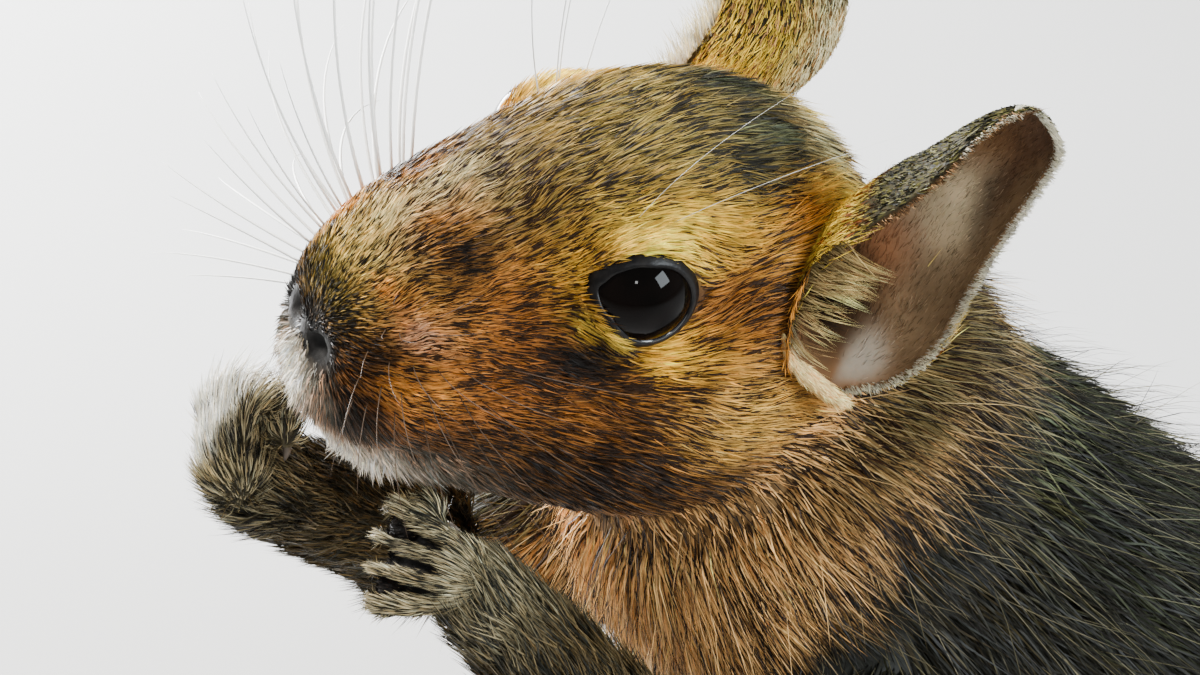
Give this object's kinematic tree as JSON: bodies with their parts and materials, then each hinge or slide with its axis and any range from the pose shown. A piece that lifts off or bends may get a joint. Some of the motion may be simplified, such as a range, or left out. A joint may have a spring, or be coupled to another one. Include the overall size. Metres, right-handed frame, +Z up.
{
  "type": "degu figure",
  "caption": "Still, life-size figure of a degu sitting up on its haunches, forepaws raised to its mouth and tail laid out behind it.",
  "frame": {"origin": "on the floor, in the flat under the rump that the animal sits on", "axes": "+X the way the body faces, +Y the animal's left, +Z up"},
  "size_m": [0.1992, 0.0728, 0.1166],
  "materials": {
    "coat": "matt fur",
    "paw": "matt skin under short grey hair",
    "ear": "satin skin",
    "eye": "wet gloss",
    "brush": "matt bristly hair"
  },
  "bodies": {
    "root": {"head": "coat", "eye_left": "eye", "eye_right": "eye", "ear_left": "ear", "ear_right": "ear", "neck": "coat", "torso": "coat", "upper_arm_left": "coat", "upper_arm_right": "coat", "forearm_left": "coat", "forearm_right": "coat", "forepaw_left": "paw", "forepaw_right": "paw", "thigh_left": "coat", "thigh_right": "coat", "shank_left": "coat", "shank_right": "coat", "hindfoot_left": "paw", "hindfoot_right": "paw", "tail_base": "coat", "tail_middle": "coat", "tail_tip": "brush"}
  },
  "joints": []
}
